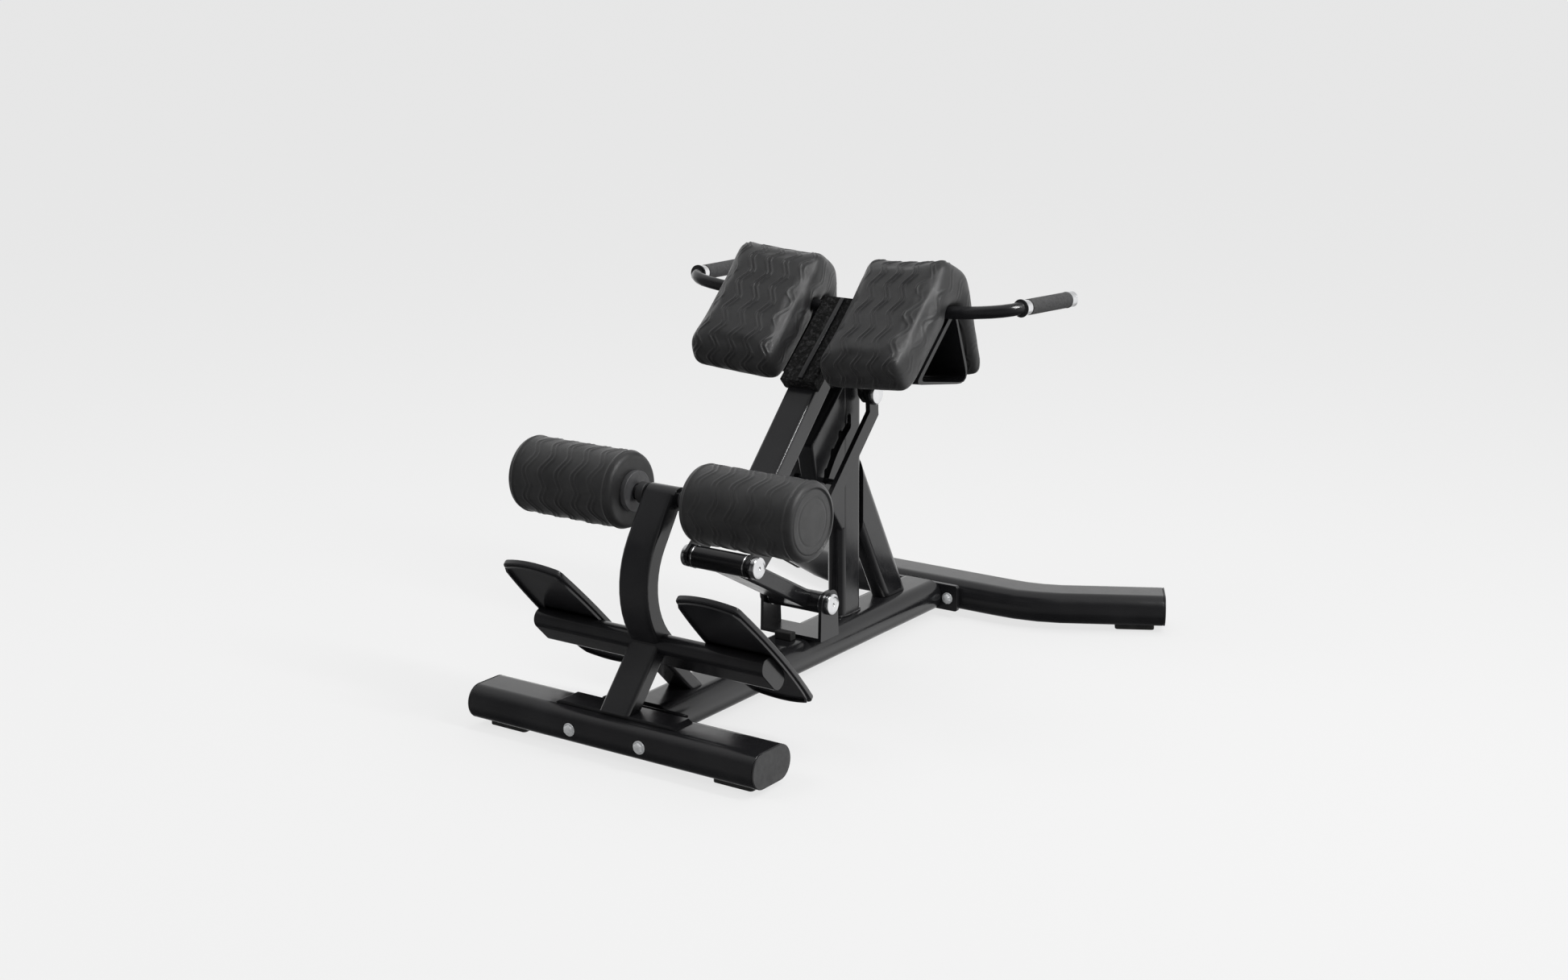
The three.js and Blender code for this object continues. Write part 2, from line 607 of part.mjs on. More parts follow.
const HANDLE_AXIS = new THREE.Vector3(11, 150, -5.5).normalize();
const HANDLE_RING = new THREE.Vector3(336, 660, 650.5);
const onHandle = (distance) => HANDLE_RING.clone().addScaledVector(HANDLE_AXIS, distance);
const handlePath = (radius) => sweep(roundSection(radius), new THREE.CatmullRomCurve3([
  new THREE.Vector3(36.5, 621, 624), new THREE.Vector3(120, 623, 628), new THREE.Vector3(225, 626, 637),
  new THREE.Vector3(266, 623, 641.5), new THREE.Vector3(300, 626.5, 645.5),
  new THREE.Vector3(324, 640, 648.5), onHandle(-4), onHandle(-GAP),
], false, 'centripetal'), 18, 6);

function padsAndHandles() {
  addPair('pad_bracket', cut(padBracket(), handlePath(HANDLE.tube + 1)), PAINT);
  addPair('pad', cut(padBody(), handlePath(HANDLE.tube + 2)), LEATHER);

  const { tube, collar, ring, ringLength, grip, length } = HANDLE;
  const drum = (radius, from, to) => turned(
    [[0, 0], [radius, 0], [radius, to - from], [0, to - from]], onHandle(from), HANDLE_AXIS, 28);
  const gripEnd = length - 10;
  addPair('handle_tube', join(handlePath(tube), drum(collar, -3, -GAP)), PAINT);
  addPair('handle_ring', drum(ring, 0, ringLength), CHROME);
  addPair('handle_grip', drum(grip, ringLength + GAP, gripEnd - GAP), FOAM);
  addPair('handle_end_cap', turned([[0, 0], [grip + 0.6, 0], [grip + 0.6, 4], [grip - 3, 8], [0, 9]],
    onHandle(gripEnd), HANDLE_AXIS, 28), CHROME);
}

floorBeams();
rearBeam();
frontFeet();
flangesAndBolts();
footEnd();
ankleRollers();
columnAndLadder();
add('rear_brace', rearBrace(), PAINT);
linkAndPivots();
postAndStrut();
padsAndHandles();

// The origin is at the middle of the floor area that the chair covers.
const box = new THREE.Box3().setFromObject(chair);
chair.position.y = -(box.min.y + box.max.y) / 2;
chair.updateMatrixWorld(true);

export default chair;
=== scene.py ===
"""Looks of the roman chair: pads, rollers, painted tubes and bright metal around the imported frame."""
import json
import math

import bmesh
import bpy
import numpy as np
from mathutils import Matrix, Vector


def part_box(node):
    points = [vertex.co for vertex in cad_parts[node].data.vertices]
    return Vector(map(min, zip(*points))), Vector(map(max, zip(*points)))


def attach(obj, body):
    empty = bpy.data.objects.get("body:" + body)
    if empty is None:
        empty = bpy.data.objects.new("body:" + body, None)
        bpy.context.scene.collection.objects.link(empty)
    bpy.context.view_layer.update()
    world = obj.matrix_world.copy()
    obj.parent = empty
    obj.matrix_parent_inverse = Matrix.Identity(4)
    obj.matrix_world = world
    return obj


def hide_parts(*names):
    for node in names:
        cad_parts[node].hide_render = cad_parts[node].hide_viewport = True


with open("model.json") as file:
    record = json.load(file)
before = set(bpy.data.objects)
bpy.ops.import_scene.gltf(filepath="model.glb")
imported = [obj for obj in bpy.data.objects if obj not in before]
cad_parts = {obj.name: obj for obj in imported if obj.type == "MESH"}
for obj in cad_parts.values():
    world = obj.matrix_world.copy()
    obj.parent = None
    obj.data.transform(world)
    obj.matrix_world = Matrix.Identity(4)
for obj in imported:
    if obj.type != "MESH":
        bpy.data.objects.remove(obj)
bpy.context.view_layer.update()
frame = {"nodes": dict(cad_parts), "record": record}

MM = 0.001
X = Vector((1, 0, 0))
Z = Vector((0, 0, 1))
SIDES = (("right", 1), ("left", -1))

VIEW_AZIMUTH = 34.94
VIEW_DOWN = 14.55
VIEW_ROLL = -0.31
VIEW_DISTANCE = 3.6
VIEW_TARGET = Vector((0.1752, -0.330, 0.4147))
LENS = 52.61
BACKDROP = 0.80
DIM_WALL = 0.14
DIM_GROUND = 0.12
DIM_CEILING = 0.55
FLOOR_COLOR = (0.12, 0.12, 0.12)
FLOOR_GLOW = 0.74
FLOOR_REACH = 60

BODY_OF = {node: body for body, nodes in frame["record"]["behaviour"]["bodies"].items() for node in nodes}


# ---- camera, light and floor -----------------------------------------------------------
def add_camera():
    camera = bpy.data.objects.new("camera", bpy.data.cameras.new("camera"))
    camera.data.lens = LENS
    camera.data.sensor_width = 36
    camera.data.clip_end = 50
    turn = Matrix.Rotation(math.radians(VIEW_AZIMUTH), 4, "Z")
    tilt = Matrix.Rotation(math.radians(90 - VIEW_DOWN), 4, "X")
    roll = Matrix.Rotation(math.radians(VIEW_ROLL), 4, "Z")
    facing = turn @ tilt @ roll
    back = facing.to_3x3() @ Z
    camera.matrix_world = Matrix.Translation(VIEW_TARGET + back * VIEW_DISTANCE) @ facing
    bpy.context.scene.collection.objects.link(camera)
    bpy.context.scene.camera = camera


def add_area_light(name, place, aim, size, power):
    light = bpy.data.lights.new(name, "AREA")
    light.shape = "RECTANGLE"
    light.size, light.size_y = size
    light.energy = power
    lamp = bpy.data.objects.new(name, light)
    turn = (aim - place).to_track_quat("-Z", "Y").to_matrix().to_4x4()
    lamp.matrix_world = Matrix.Translation(place) @ turn
    bpy.context.scene.collection.objects.link(lamp)
    return lamp


def mapped(nodes, links, value, span, result):
    """A value in the span, carried smoothly over to the result's range."""
    node = nodes.new("ShaderNodeMapRange")
    node.interpolation_type = "SMOOTHSTEP"
    node.inputs["From Min"].default_value, node.inputs["From Max"].default_value = span
    node.inputs["To Min"].default_value, node.inputs["To Max"].default_value = result
    links.new(value, node.inputs["Value"])
    return node.outputs[0]


def multiplied(nodes, links, first, second):
    node = nodes.new("ShaderNodeMath")
    node.operation = "MULTIPLY"
    links.new(first, node.inputs[0])
    links.new(second, node.inputs[1])
    return node.outputs[0]


def add_world():
    """A bright studio wall behind the object, dim in front of it, below it and overhead.

    The camera sees an even backdrop instead.
    """
    world = bpy.data.worlds.new("studio")
    bpy.context.scene.world = world
    world.use_nodes = True
    nodes, links = world.node_tree.nodes, world.node_tree.links
    nodes.clear()
    place = nodes.new("ShaderNodeTexCoord")
    split = nodes.new("ShaderNodeSeparateXYZ")
    links.new(place.outputs["Generated"], split.inputs[0])
    tilt = nodes.new("ShaderNodeVectorMath")
    tilt.operation = "DOT_PRODUCT"
    tilt.inputs[1].default_value = (0, 1, 0.5)
    links.new(place.outputs["Generated"], tilt.inputs[0])
    across = mapped(nodes, links, tilt.outputs["Value"], (-0.45, 0.45), (DIM_WALL, 1.0))
    below = mapped(nodes, links, split.outputs["Z"], (-0.75, -0.35), (DIM_GROUND, 1.0))
    above = mapped(nodes, links, split.outputs["Z"], (0.10, 0.75), (1.0, DIM_CEILING))
    light = multiplied(nodes, links, multiplied(nodes, links, across, below), above)
    seen = nodes.new("ShaderNodeLightPath")
    choose = nodes.new("ShaderNodeMix")
    choose.inputs[3].default_value = BACKDROP
    background = nodes.new("ShaderNodeBackground")
    output = nodes.new("ShaderNodeOutputWorld")
    links.new(seen.outputs["Is Camera Ray"], choose.inputs[0])
    links.new(light, choose.inputs[2])
    links.new(choose.outputs[0], background.inputs["Color"])
    links.new(background.outputs[0], output.inputs["Surface"])


def add_floor():
    mesh = bpy.data.meshes.new("floor")
    corners = [(x * FLOOR_REACH, y * FLOOR_REACH, 0) for x, y in ((-1, -1), (1, -1), (1, 1), (-1, 1))]
    mesh.from_pydata(corners, [], [(0, 1, 2, 3)])
    floor = bpy.data.objects.new("floor", mesh)
    floor.visible_glossy = False
    bpy.context.scene.collection.objects.link(floor)
    material = plain_material("floor_paint", FLOOR_COLOR, 1.0)
    shader = material.node_tree.nodes["Principled BSDF"]
    shader.inputs["Specular IOR Level"].default_value = 0
    shader.inputs["Emission Color"].default_value = (1, 1, 1, 1)
    shader.inputs["Emission Strength"].default_value = FLOOR_GLOW
    mesh.materials.append(material)


def add_stage():
    bpy.context.scene.view_settings.view_transform = "Standard"
    add_world()
    add_floor()
    middle = Vector((0, 0, 0.35))
    add_area_light("key", Vector((-1.6, -2.2, 2.8)), middle, (2.0, 1.4), 44).visible_glossy = False
    add_area_light("top", Vector((0.3, 0.6, 3.2)), middle, (3.0, 2.0), 40).visible_glossy = False
    add_area_light("strip", Vector((2.1, -0.1, 2.45)), Vector((0.1, 0.05, 0.6)), (0.3, 1.4), 46)


# ---- materials -------------------------------------------------------------------------
def plain_material(name, color, roughness, metallic=0.0):
    material = bpy.data.materials.new(name)
    material.use_nodes = True
    shader = material.node_tree.nodes["Principled BSDF"]
    shader.inputs["Base Color"].default_value = (*color, 1)
    shader.inputs["Roughness"].default_value = roughness
    shader.inputs["Metallic"].default_value = metallic
    return material


class Surface:
    """A Principled material whose colour, roughness and bump come from object-space patterns."""

    def __init__(self, name, color, roughness, metallic=0.0):
        self.material = plain_material(name, color, roughness, metallic)
        self.nodes = self.material.node_tree.nodes
        self.links = self.material.node_tree.links
        self.shader = self.nodes["Principled BSDF"]
        self.place = self.nodes.new("ShaderNodeTexCoord").outputs["Object"]
        self.normal = None

    def noise(self, scale, detail, rough=0.55):
        node = self.nodes.new("ShaderNodeTexNoise")
        node.inputs["Scale"].default_value = scale
        node.inputs["Detail"].default_value = detail
        node.inputs["Roughness"].default_value = rough
        self.links.new(self.place, node.inputs["Vector"])
        return node.outputs["Fac"]

    def cells(self, scale):
        """How far a place is from the edge of its cell."""
        node = self.nodes.new("ShaderNodeTexVoronoi")
        node.feature = "DISTANCE_TO_EDGE"
        node.inputs["Scale"].default_value = scale
        self.links.new(self.place, node.inputs["Vector"])
        return node.outputs["Distance"]

    def ranged(self, value, low, high, start, stop):
        node = self.nodes.new("ShaderNodeMapRange")
        node.inputs["From Min"].default_value = start
        node.inputs["From Max"].default_value = stop
        node.inputs["To Min"].default_value = low
        node.inputs["To Max"].default_value = high
        self.links.new(value, node.inputs["Value"])
        return node.outputs[0]

    def color_between(self, value, dark, light, start=0.35, stop=0.65):
        ramp = self.nodes.new("ShaderNodeValToRGB")
        ramp.color_ramp.elements[0].position = start
        ramp.color_ramp.elements[0].color = (*dark, 1)
        ramp.color_ramp.elements[1].position = stop
        ramp.color_ramp.elements[1].color = (*light, 1)
        self.links.new(value, ramp.inputs[0])
        self.links.new(ramp.outputs[0], self.shader.inputs["Base Color"])

    def rough(self, value, low, high, start=0.3, stop=0.7):
        self.links.new(self.ranged(value, low, high, start, stop), self.shader.inputs["Roughness"])

    def bump(self, height, strength, depth):
        """Adds a layer of relief on top of those that are there."""
        node = self.nodes.new("ShaderNodeBump")
        node.inputs["Strength"].default_value = strength
        node.inputs["Distance"].default_value = depth
        self.links.new(height, node.inputs["Height"])
        if self.normal:
            self.links.new(self.normal, node.inputs["Normal"])
        self.normal = node.outputs[0]
        self.links.new(self.normal, self.shader.inputs["Normal"])


def painted_steel():
    """Gloss black powder coat with a faint orange peel."""
    s = Surface("gloss_black_paint", (0.008, 0.008, 0.009), 0.2)
    s.color_between(s.noise(9, 4), (0.008, 0.008, 0.009), (0.013, 0.013, 0.014))
    s.rough(s.noise(35, 5), 0.15, 0.25)
    s.bump(s.noise(420, 2), 0.10, 0.0004)
    s.bump(s.noise(60, 2), 0.05, 0.0006)
    s.shader.inputs["Specular IOR Level"].default_value = 0.55
    return s.material


def grained_leather():
    """Black artificial leather with a pebble grain."""
    s = Surface("black_leather", (0.018, 0.018, 0.0185), 0.42)
    s.color_between(s.noise(24, 5), (0.015, 0.015, 0.0155), (0.022, 0.022, 0.0225))
    s.rough(s.noise(55, 4), 0.34, 0.46)
    s.bump(s.ranged(s.cells(620), 0, 1, 0, 0.12), 0.22, 0.0004)
    s.bump(s.noise(1500, 3), 0.15, 0.0003)
    s.shader.inputs["Specular IOR Level"].default_value = 0.5
    s.shader.inputs["Sheen Weight"].default_value = 0.04
    return s.material


def chromed():
    """Bright chrome, a little worn."""
    s = Surface("bright_chrome", (0.74, 0.75, 0.76), 0.14, 1.0)
    s.rough(s.noise(160, 4), 0.12, 0.26)
    s.color_between(s.noise(45, 4), (0.70, 0.71, 0.72), (0.80, 0.80, 0.81))
    s.bump(s.noise(700, 2), 0.05, 0.0002)
    return s.material


def zinc_plated():
    """Satin zinc on the flange bolts and their washers."""
    s = Surface("zinc_plate", (0.6, 0.61, 0.62), 0.34, 0.35)
    s.color_between(s.noise(240, 4), (0.52, 0.53, 0.54), (0.66, 0.67, 0.68))
    s.rough(s.noise(400, 3), 0.28, 0.42)
    s.bump(s.noise(900, 2), 0.08, 0.0002)
    return s.material


def black_rubber():
    """Matt rubber of the feet and the stop."""
    s = Surface("black_rubber", (0.018, 0.018, 0.018), 0.8)
    s.color_between(s.noise(60, 5), (0.014, 0.014, 0.014), (0.024, 0.024, 0.023))
    s.rough(s.noise(200, 3), 0.7, 0.9)
    s.bump(s.noise(800, 4), 0.3, 0.0004)
    return s.material


def satin_plastic(name, dark, light):
    """Moulded plastic with a fine texture, between two shades."""
    s = Surface(name, dark, 0.45)
    s.color_between(s.noise(40, 4), dark, light)
    s.rough(s.noise(120, 4), 0.36, 0.52)
    s.bump(s.noise(1100, 3), 0.15, 0.0003)
    return s.material


def foam_grip():
    """Closed-cell foam: dark grey and finely pitted."""
    s = Surface("foam_grip", (0.045, 0.045, 0.046), 0.8)
    s.color_between(s.noise(300, 4), (0.036, 0.036, 0.037), (0.062, 0.062, 0.063))
    s.rough(s.noise(90, 3), 0.68, 0.86)
    s.bump(s.ranged(s.cells(900), 0, 1, 0, 0.25), 0.45, 0.0006)
    return s.material


def napped_cover():
    """The dark crumpled cover of the plate between the pads."""
    s = Surface("napped_cover", (0.012, 0.012, 0.012), 0.75)
    squiggle = s.noise(170, 6, 0.7)
    s.color_between(squiggle, (0.003, 0.003, 0.003), (0.035, 0.035, 0.036), 0.50, 0.64)
    s.rough(s.noise(260, 4), 0.5, 0.9)
    s.bump(squiggle, 1.0, 0.004)
    s.shader.inputs["Specular IOR Level"].default_value = 0.25
    return s.material


# ---- mesh helpers ----------------------------------------------------------------------
WELD_REACH = 0.02 * MM
FLAT_ANGLE = math.radians(0.6)
SHARP_ANGLE = math.radians(40)
BEVEL_ANGLE = math.radians(42)
EDGE_ROUNDING = 1.4 * MM
BAR_ROUNDING = 0.8 * MM
ROUNDING_STEPS = 3


def object_from(name, mesh):
    thing = bpy.data.objects.new(name, mesh)
    bpy.context.scene.collection.objects.link(thing)
    return thing


def mesh_of(name, points, faces):
    mesh = bpy.data.meshes.new(name)
    mesh.from_pydata([tuple(p) for p in points], [], faces)
    mesh.validate()
    return mesh


def shade(mesh):
    """Smooth shading that keeps real edges sharp."""
    mesh.shade_smooth()
    mesh.set_sharp_from_angle(angle=SHARP_ANGLE)


def face_outwards(mesh):
    """Turns every face of a closed mesh outwards."""
    bm = bmesh.new()
    bm.from_mesh(mesh)
    bmesh.ops.recalc_face_normals(bm, faces=bm.faces)
    bm.to_mesh(mesh)
    bm.free()


def baked(thing):
    """The mesh with its modifiers applied."""
    bpy.context.view_layer.update()
    seen = thing.evaluated_get(bpy.context.evaluated_depsgraph_get())
    mesh = bpy.data.meshes.new_from_object(seen)
    thing.modifiers.clear()
    thing.data = mesh
    return mesh


def clean_mesh(node, name):
    """A copy of a CAD node with its corners welded and its flat faces whole."""
    bm = bmesh.new()
    bm.from_mesh(frame["nodes"][node].data)
    bmesh.ops.remove_doubles(bm, verts=bm.verts, dist=WELD_REACH)
    bmesh.ops.dissolve_limit(bm, angle_limit=FLAT_ANGLE, verts=bm.verts, edges=bm.edges)
    bm.verts.index_update()
    points = [v.co.copy() for v in bm.verts]
    faces = [[v.index for v in f.verts] for f in bm.faces]
    bm.free()
    return mesh_of(name, points, faces)


def finish_piece(thing, material, body, replaced=()):
    """Gives a piece its material and its body, and hides the CAD nodes that it replaces."""
    thing.data.materials.clear()
    thing.data.materials.append(material)
    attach(thing, body)
    if replaced:
        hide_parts(*replaced)


def refine(node, material):
    """The CAD shape with its edges rounded, its facets smoothed and a better material."""
    thing = object_from(f"{node}_skin", clean_mesh(node, f"{node}_skin"))
    rounding = thing.modifiers.new("edges", "BEVEL")
    rounding.width = EDGE_ROUNDING
    rounding.segments = ROUNDING_STEPS
    rounding.limit_method = "ANGLE"
    rounding.angle_limit = BEVEL_ANGLE
    rounding.use_clamp_overlap = True
    shade(baked(thing))
    weigh = thing.modifiers.new("normals", "WEIGHTED_NORMAL")
    weigh.keep_sharp = True
    baked(thing)
    finish_piece(thing, material, BODY_OF[node], [node])


def frame_along(along, side=None):
    """Two directions square to a line, the first as near as it can be to the given side."""
    along = along.normalized()
    guess = side if side is not None else (Z if abs(along.z) < 0.9 else X)
    across = (guess - along * guess.dot(along)).normalized()
    return across, along.cross(across)


def swept_loop(name, centres, section, up=None):
    """A section of (a, b) points carried round a closed line of centres."""
    count, n = len(centres), len(section)
    points, faces = [], []
    across, _ = frame_along(centres[1] - centres[0], up)
    for i, centre in enumerate(centres):
        j = (i + 1) % count
        ahead = centres[j] - centres[(i - 1) % count]
        across, lift = frame_along(ahead, up if up is not None else across)
        points += [centre + across * a + lift * b for a, b in section]
        faces += [(i * n + k, i * n + (k + 1) % n, j * n + (k + 1) % n, j * n + k) for k in range(n)]
    mesh = mesh_of(name, points, faces)
    face_outwards(mesh)
    shade(mesh)
    return object_from(name, mesh)


def round_section(radius, count):
    """A circle as (a, b) points."""
    turns = [2 * math.pi * k / count for k in range(count)]
    return [(radius * math.cos(a), radius * math.sin(a)) for a in turns]


def skin_between(low, high, segments):
    """The faces between two rows of a turned body, where a row on the axis is a single point."""
    faces = []
    for k in range(segments):
        n = (k + 1) % segments
        if len(low) == 1:
            faces.append((low[0], high[n], high[k]))
        elif len(high) == 1:
            faces.append((low[k], low[n], high[0]))
        else:
            faces.append((low[k], low[n], high[n], high[k]))
    return faces


def turned(name, profile, origin, axis, segments):
    """A closed body turned from (radius, distance) points. The profile starts and ends on the axis."""
    across, lift = frame_along(axis)
    axis = axis.normalized()
    points, rows, faces = [], [], []
    for radius, distance in profile:
        count = 1 if radius < 1e-9 else segments
        rows.append(range(len(points), len(points) + count))
        for k in range(count):
            a = 2 * math.pi * k / segments
            points.append(origin + axis * distance + (across * math.cos(a) + lift * math.sin(a)) * radius)
    for low, high in zip(rows, rows[1:]):
        faces += skin_between(low, high, segments)
    mesh = mesh_of(name, points, faces)
    face_outwards(mesh)
    shade(mesh)
    return object_from(name, mesh)


# ---- embossed lines of the leather -----------------------------------------------------
LINE_PITCH = 34 * MM
LINE_GAP = 4.4 * MM
ZIG_LENGTH = 58 * MM
ZIG_REACH = 6.5 * MM
EMBOSS_HEIGHT = 2.6 * MM
EMBOSS_WIDTH = 1.9 * MM
ZIG_BLUNTNESS = 1.35


def rising(value, start, reach):
    """0 up to the start, and from there evenly up to 1 over the reach."""
    return np.clip((value - start) / reach, 0, 1)


def zigzag(v):
    """How far a line is to the side of its column at the place v: a zig-zag with blunt corners."""
    phase = (v / ZIG_LENGTH) % 1.0
    triangle = 4 * np.abs(phase - 0.5) - 1
    return np.clip(ZIG_BLUNTNESS * triangle, -1, 1) * ZIG_REACH


def embossing(u, v):
    """Height of the raised double zig-zag lines at surface places u (across) and v (along)."""
    height = np.zeros_like(u)
    column = np.round(u / LINE_PITCH)
    for near in (-1, 0, 1):
        k = column + near
        for side in (-1, 1):
            line = k * LINE_PITCH + side * LINE_GAP + zigzag(v)
            height = np.maximum(height, np.exp(-((u - line) / EMBOSS_WIDTH) ** 2))
    # slow waves press some stretches of the lines less deep
    fade = 0.75 + 0.25 * np.sin(31 * u + 1.3) * np.sin(23 * v + 0.7)
    return height * fade * EMBOSS_HEIGHT


def coordinates(mesh):
    """The places and the normals of a mesh's corners, as two arrays of rows."""
    places = np.zeros(len(mesh.vertices) * 3)
    mesh.vertices.foreach_get("co", places)
    normals = np.zeros(len(mesh.vertices) * 3)
    mesh.vertices.foreach_get("normal", normals)
    return places.reshape(-1, 3), normals.reshape(-1, 3)


def set_coordinates(mesh, places):
    mesh.vertices.foreach_set("co", places.ravel())
    mesh.update()


# ---- thigh pads ------------------------------------------------------------------------
PAD_SLOPE = math.radians(43.6)
PAD_ROLL = math.radians(6.5)
PAD_VOXEL = 3.4 * MM
PAD_CAP = 4 * MM
PAD_ROUNDING = 90
PAD_FRAMES = 20
PAD_PRESSURE = 4
COVER_MASS = 0.3
PAD_SETTLING = 14
UNDERSIDE_LIMIT = 0.55
REAR_LIMIT = 0.75
RIDGE_START = 3 * MM
RIDGE_REACH = 14 * MM
END_EMBOSSING = 0.3


def pad_axes():
    """The pad's own directions: across it, up its front face, and into it."""
    tilt = Matrix.Rotation(-PAD_ROLL, 3, Vector((0, 1, 1)).normalized())
    along = Vector((0, math.cos(PAD_SLOPE), math.sin(PAD_SLOPE)))
    inward = Vector((0, math.sin(PAD_SLOPE), -math.cos(PAD_SLOPE)))
    return [np.array(tilt @ v) for v in (X, along, inward)]


def swell(thing, held):
    """Blows the cover up a little with cloth, keeping the held vertices in place."""
    before, _ = coordinates(thing.data)
    group = thing.vertex_groups.new(name="held")
    group.add([int(i) for i in np.nonzero(held)[0]], 1.0, "REPLACE")
    cloth = thing.modifiers.new("cloth", "CLOTH")
    settings = cloth.settings
    settings.quality = 4
    settings.mass = COVER_MASS
    settings.use_pressure = True
    settings.uniform_pressure_force = PAD_PRESSURE
    settings.effector_weights.gravity = 0
    settings.vertex_group_mass = "held"
    cloth.collision_settings.use_collision = False
    for number in range(1, PAD_FRAMES + 1):
        bpy.context.scene.frame_set(number)
    seen = thing.evaluated_get(bpy.context.evaluated_depsgraph_get())
    after, _ = coordinates(seen.data)
    thing.modifiers.clear()
    thing.vertex_groups.clear()
    bpy.context.scene.frame_set(1)
    move = after - before
    length = np.linalg.norm(move, axis=1, keepdims=True) + 1e-12
    set_coordinates(thing.data, before + move * np.minimum(1, PAD_CAP / length))


def apply_modifier(thing, kind, **values):
    """Adds a modifier with these values and applies it at once."""
    modifier = thing.modifiers.new(kind, kind)
    for key, value in values.items():
        setattr(modifier, key, value)
    baked(thing)


def emboss_pad(mesh):
    """Raises the lines on the front and the ends, and leaves the underside and the ridge plain."""
    across, along, inward = pad_axes()
    places, normals = coordinates(mesh)
    centre = places.mean(axis=0)
    u = (places - centre) @ across
    a = (places - centre) @ along
    depth = (places - centre) @ inward
    face = depth.min()
    fold = np.where(a > np.median(a), 1.0, -1.0)
    around = embossing(u, a + fold * (depth - face))
    end = embossing(depth - face, a)
    facing = np.abs(normals @ across)
    front = rising(-facing, -0.6, 0.45)
    side = rising(facing, 0.8, 0.15)
    under = rising(normals @ inward, 0, 0.4) * (1 - side)
    ridge = rising(a.max() - a, RIDGE_START, RIDGE_REACH)
    height = (around * front * ridge + END_EMBOSSING * end * side) * (1 - under)
    set_coordinates(mesh, places + normals * height[:, None])


def extents(mesh):
    """The pad's lowest and highest places along its own directions."""
    places, _ = coordinates(mesh)
    own = places @ np.array(pad_axes()).T
    return own.min(axis=0), own.max(axis=0)


def stretch_to(mesh, wanted):
    """Brings a rounded pad back to the size that it had."""
    axes = np.array(pad_axes())
    places, _ = coordinates(mesh)
    own = places @ axes.T
    low, high = own.min(axis=0), own.max(axis=0)
    own = wanted[0] + (own - low) * (wanted[1] - wanted[0]) / (high - low)
    set_coordinates(mesh, own @ np.linalg.inv(axes).T)


def pad_shape():
    """The right pad's cover: the CAD solid remeshed, rounded, swollen and embossed."""
    thing = object_from("pad_right_cover", clean_mesh("pad_right", "pad_right_cover"))
    apply_modifier(thing, "REMESH", mode="VOXEL", voxel_size=PAD_VOXEL, use_smooth_shade=True)
    wanted = extents(thing.data)
    apply_modifier(thing, "SMOOTH", factor=0.5, iterations=PAD_ROUNDING)
    stretch_to(thing.data, wanted)
    _, _, inward = pad_axes()
    places, normals = coordinates(thing.data)
    middle = places.mean(axis=0)
    under = normals @ inward > UNDERSIDE_LIMIT
    rear_inside = (normals[:, 1] < -REAR_LIMIT) & (places[:, 1] > middle[1])
    swell(thing, under | rear_inside)
    apply_modifier(thing, "SMOOTH", factor=0.5, iterations=PAD_SETTLING)
    apply_modifier(thing, "SUBSURF", levels=1)
    emboss_pad(thing.data)
    thing.data.shade_smooth()
    return thing


def mirrored_copy(thing, name):
    """The same shape on the other side of the object."""
    mesh = thing.data.copy()
    mesh.transform(Matrix.Scale(-1, 4, X))
    mesh.flip_normals()
    return object_from(name, mesh)


def make_pads(leather):
    right = pad_shape()
    left = mirrored_copy(right, "pad_left_cover")
    for thing, side in ((right, "right"), (left, "left")):
        finish_piece(thing, leather, "pad_unit", [f"pad_{side}"])


# ---- ankle rollers ---------------------------------------------------------------------
ROLLER_BORE = 13.4 * MM
BORE_END = 16 * MM
ROLLER_EDGE = 10 * MM
ROLLER_STEPS = 104
ROLLER_SEGMENTS = 144
ROLLER_SLACK = 1.0 * MM
PIPE_HEIGHT = 1.6 * MM
PIPE_WIDTH = 1.5 * MM
PIPE_PLACE = 1.25 * ROLLER_EDGE
FACE_CROWN = 1.6 * MM
FACE_SINK = 2.0 * MM
SEAM_PLACES = (0.60, 0.82)
SEAM_DEPTH = 1.1 * MM
SEAM_WIDTH = 0.9 * MM
PLAIN_END = 22 * MM
PLAIN_FADE = 4 * MM
ROLLER_EMBOSSING = 0.6
UNEVEN_HEIGHT = 0.5 * MM
UNEVEN_ALONG = 70
UNEVEN_AROUND = 42


def hump(distance, width):
    """1 in the middle, falling smoothly to nothing on both sides."""
    return math.exp(-(distance / width) ** 2)


def inner_face(radius):
    """The bore, which ends inside the roller, and the flat face round it."""
    profile = [(0, BORE_END), (ROLLER_BORE, BORE_END - 1 * MM), (ROLLER_BORE, 0.5 * MM)]
    return profile + [(r, 0) for r in np.linspace(ROLLER_BORE + 2 * MM, radius - ROLLER_EDGE, 14)]


def outer_face(radius, length):
    """A crowned face with sewn circles, from its edge to the axis."""
    profile = []
    for r in np.linspace(radius - ROLLER_EDGE, 0, 34):
        crown = FACE_CROWN * math.cos(r / radius * math.pi / 2)
        groove = sum(hump(r - radius * place, SEAM_WIDTH) for place in SEAM_PLACES)
        profile.append((float(r), length - FACE_SINK + crown - SEAM_DEPTH * groove))
    return profile


